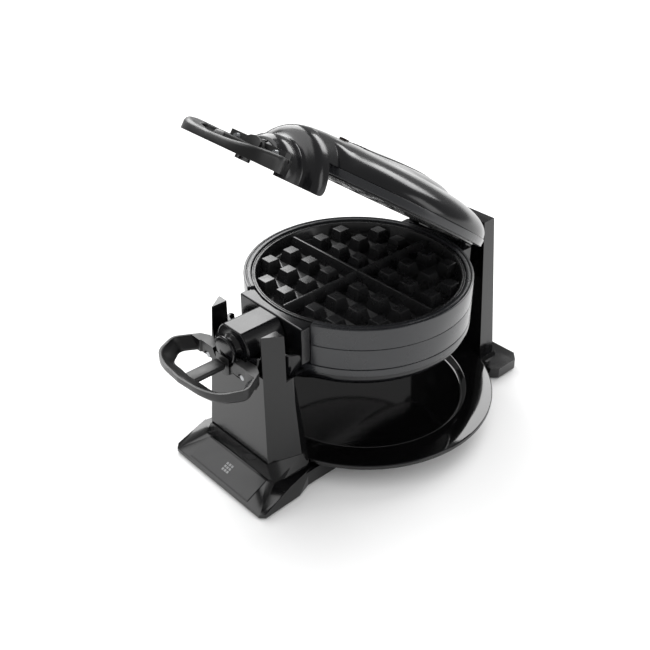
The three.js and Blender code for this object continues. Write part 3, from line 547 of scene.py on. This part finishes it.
def makeGrip(side):
    # the root is the frame's own, cut off ahead of the hub; the loop with its sloped bowl is made here
    place = lidPlaces[side]
    forward = place.to_3x3() @ Vector((0, -1, 0))
    root = mouldedCopy(f"{side}_grip_root", f"{side}_handle", "textured_grip", lidBodies[side], 0.7)
    cutting = bmesh.new()
    cutting.from_mesh(root.data)
    cutOff(cutting, place @ Vector((0, grip["join"] * mm, 0)), forward)
    cutting.to_mesh(root.data)
    cutting.free()

    outlines = []
    for corners in (grip["outer"], grip["inner"]):
        mirrored = [[-corner[0], *corner[1:]] for corner in reversed(corners) if corner[0]]
        outlines.append(softCorners(corners + mirrored, 6))
    bm = bmesh.new()
    rings = []
    for step in range(grip["steps"]):
        angle = 2 * math.pi * step / grip["steps"]
        way = Vector((math.cos(angle), math.sin(angle)))
        edge, hole = (reach(points, angle) for points in outlines)
        height = along(grip["heights"], grip["middle"] + way.y * edge)[0] - grip["lip"]
        ring = []
        for inward, up in grip["section"]:
            spot = way * (edge + (hole - edge) * inward)
            corner = Vector((spot.x, grip["middle"] + spot.y, grip["lip"] + height * up))
            ring.append(bm.verts.new(corner * mm))
        rings.append(ring)
    count = len(grip["section"])
    for ring, following in zip(rings, rings[1:] + rings[:1]):
        for i in range(count):
            j = (i + 1) % count
            bm.faces.new((ring[i], ring[j], following[j], following[i]))
    bmesh.ops.recalc_face_normals(bm, faces=bm.faces)
    loopEnd = grip["join"] - grip["gap"]
    cutOff(bm, (0, loopEnd * mm, 0), (0, 1, 0))
    addBlock(bm, (-grip["neck"], grip["neckFront"], grip["neckBottom"]),
             (grip["neck"], loopEnd, grip["neckTop"]), taper=1.5, bevel=1.8, segments=3)
    addPiece(f"{side}_grip_loop", bm, "textured_grip", lidBodies[side], [f"{side}_handle"], place, sharp=40)


for side in ("upper", "lower"):
    makeRim(side)
    makeDome(side)
    makeArm(side)
    makeInlay(side)
    makeGrip(side)
print("lids and handles made")


tray = {
    "middle": 8.2, "radius": 121.5, "recess": 96.8, "underside": 16.2, "rim": 24.7, "lip": 4.4, "sheet": 2,
    "front": -101, "rear": 124.2,
}


def makeTray():
    r, top, lipEnd = tray["radius"], tray["rim"], tray["rim"] - tray["lip"]
    bm = spun([
        [0, tray["underside"]], [tray["recess"] - 2, tray["underside"], 1.0],
        [tray["recess"] + 1, top - tray["sheet"], 1.0], [r - tray["sheet"], top - 2.6, 0.5],
        [r - tray["sheet"], lipEnd, 0.3], [r, lipEnd, 0.5], [r, top - 0.5, 1.2],
        [tray["recess"], top, 1.2], [tray["recess"] - 3.5, tray["underside"] + tray["sheet"], 2.2],
        [0, tray["underside"] + tray["sheet"]],
    ], closed=False, sides=240)
    for y, outward in ((tray["front"], -1), (tray["rear"], 1)):
        cutOff(bm, (0, (y - tray["middle"]) * mm, 0), (0, outward, 0))
    place = Matrix.Translation((0, drumAxis.y + tray["middle"] * mm, 0))
    addPiece("round_tray", bm, "mirror_black_tray", "tray", ["drip_tray"], place, sharp=50)


makeTray()
print("tray made")


for node, finish, width in (
    ("base_pan", "polished_abs", 1.0),
    ("front_post", "polished_abs", 1.2),
    ("rear_post", "polished_abs", 1.2),
    ("rear_post_cover", "satin_abs", 1.5),
    ("name_panel", "satin_abs", 0.2),
):
    mouldedCopy(f"{node}_shell", node, finish, "base", width)

emblem = {
    "y": -151.8, "up": 10.82, "slope": math.atan2(12, 24.5), "pitch": 3.1, "square": 2.2,
    "face": 0.5, "ink": 0.1, "sunk": 0.05,
}


def addEmblem():
    # a small waffle grid of nine squares on the name panel
    bm = bmesh.new()
    half, face = emblem["square"] / 2, emblem["face"]
    for column in (-1, 0, 1):
        for row in (-1, 0, 1):
            x, y = column * emblem["pitch"], row * emblem["pitch"]
            low = (x - half, y - half, face - emblem["sunk"])
            addBlock(bm, low, (x + half, y + half, face + emblem["ink"]))
    place = Matrix.Translation((0, drumAxis.y + emblem["y"] * mm, emblem["up"] * mm))
    addPiece("waffle_emblem", bm, "grey_ink", "base", [], place @ Matrix.Rotation(emblem["slope"], 4, "X"))


addEmblem()
print("base and posts made")

# the frame's own small pieces keep their shape and get their finish
keptNodes = {
    "ground_steel": ["upper_heater", "lower_heater", "centre_heater", "upper_hinge_pin", "lower_hinge_pin",
                     "rear_trunnion", "trunnion_clip"],
    "mill_aluminium": ["upper_heat_reflector", "lower_heat_reflector", "thermal_fuse"],
    "steatite": ["centre_thermostat", "terminal_block"],
    "natural_nylon": ["cradle_liner", "rear_bearing"],
    "moulded_rubber": ["cord_gland"],
    "smoked_lens": ["upper_lid_lamp", "lower_lid_lamp"],
    "non_stick_cast_aluminium": ["lower_centre_plate", "lower_lid_plate"],
    "satin_abs": ["base_floor"],
}
for name in frame["nodes"]:
    if "screw" in name:
        keptNodes["ground_steel"].append(name)
    if name.startswith("foot_pad"):
        keptNodes["moulded_rubber"].append(name)
for finish, names in keptNodes.items():
    for name in names:
        mesh = frame["nodes"][name].data
        mesh.materials.clear()
        mesh.materials.append(finishes[finish])
print("kept pieces finished")


def addFloor():
    bm = bmesh.new()
    bmesh.ops.create_grid(bm, x_segments=1, y_segments=1, size=6)
    mesh = bpy.data.meshes.new("pale_floor")
    bm.to_mesh(mesh)
    bm.free()
    floor = bpy.data.objects.new("pale_floor", mesh)
    floor.location.z = -0.0005
    scene.collection.objects.link(floor)
    material = bpy.data.materials.new("pale_floor")
    material.use_nodes = True
    shader = material.node_tree.nodes["Principled BSDF"]
    shader.inputs["Base Color"].default_value = (0.86, 0.86, 0.86, 1)
    shader.inputs["Roughness"].default_value = 0.9
    mesh.materials.append(material)


def addPanelLight(name, place, aim, size, power):
    light = bpy.data.lights.new(name, "AREA")
    light.shape = "RECTANGLE"
    light.size, light.size_y = size
    light.energy = power
    lamp = bpy.data.objects.new(name, light)
    lamp.location = place
    lamp.rotation_euler = (Vector(aim) - Vector(place)).to_track_quat("-Z", "Y").to_euler()
    scene.collection.objects.link(lamp)


def addCamera():
    camera = bpy.data.cameras.new("camera")
    camera.sensor_width = 36
    camera.lens = 52.78
    placed = bpy.data.objects.new("camera", camera)
    placed.location = (0.5104, -0.4935, 0.5563)
    placed.rotation_euler = (math.radians(57.03), 0, math.radians(47.47))
    scene.collection.objects.link(placed)
    scene.camera = placed


def addSurround():
    # white to the eye and for soft light, dimmer where a glossy face mirrors it
    world = bpy.data.worlds.new("soft surround")
    world.use_nodes = True
    tree = world.node_tree
    rays = addNode(tree, "ShaderNodeLightPath")
    strength = addNode(tree, "ShaderNodeMapRange", {"To Min": 1.0, "To Max": 0.3},
                       {"Value": rays.outputs["Is Glossy Ray"]})
    background = tree.nodes["Background"]
    background.inputs["Color"].default_value = (1, 1, 1, 1)
    tree.links.new(strength.outputs["Result"], background.inputs["Strength"])
    scene.world = world


addFloor()
addSurround()
addPanelLight("left_card", (-0.72, 0.17, 0.75), (-0.26, -0.26, 0.75), (0.6, 0.6), 7)
addPanelLight("top_left_panel", (-1.0, -0.2, 1.7), (0, 0, 0.1), (1.4, 1.4), 14)
addPanelLight("rear_panel", (-0.3, 1.9, 1.5), (0, 0, 0.15), (1.4, 0.8), 24)
addPanelLight("right_panel", (1.9, 0.6, 0.9), (0, 0, 0.12), (0.8, 1.4), 8)
scene.view_settings.view_transform = "Standard"
addCamera()
print("floor, light and camera set")
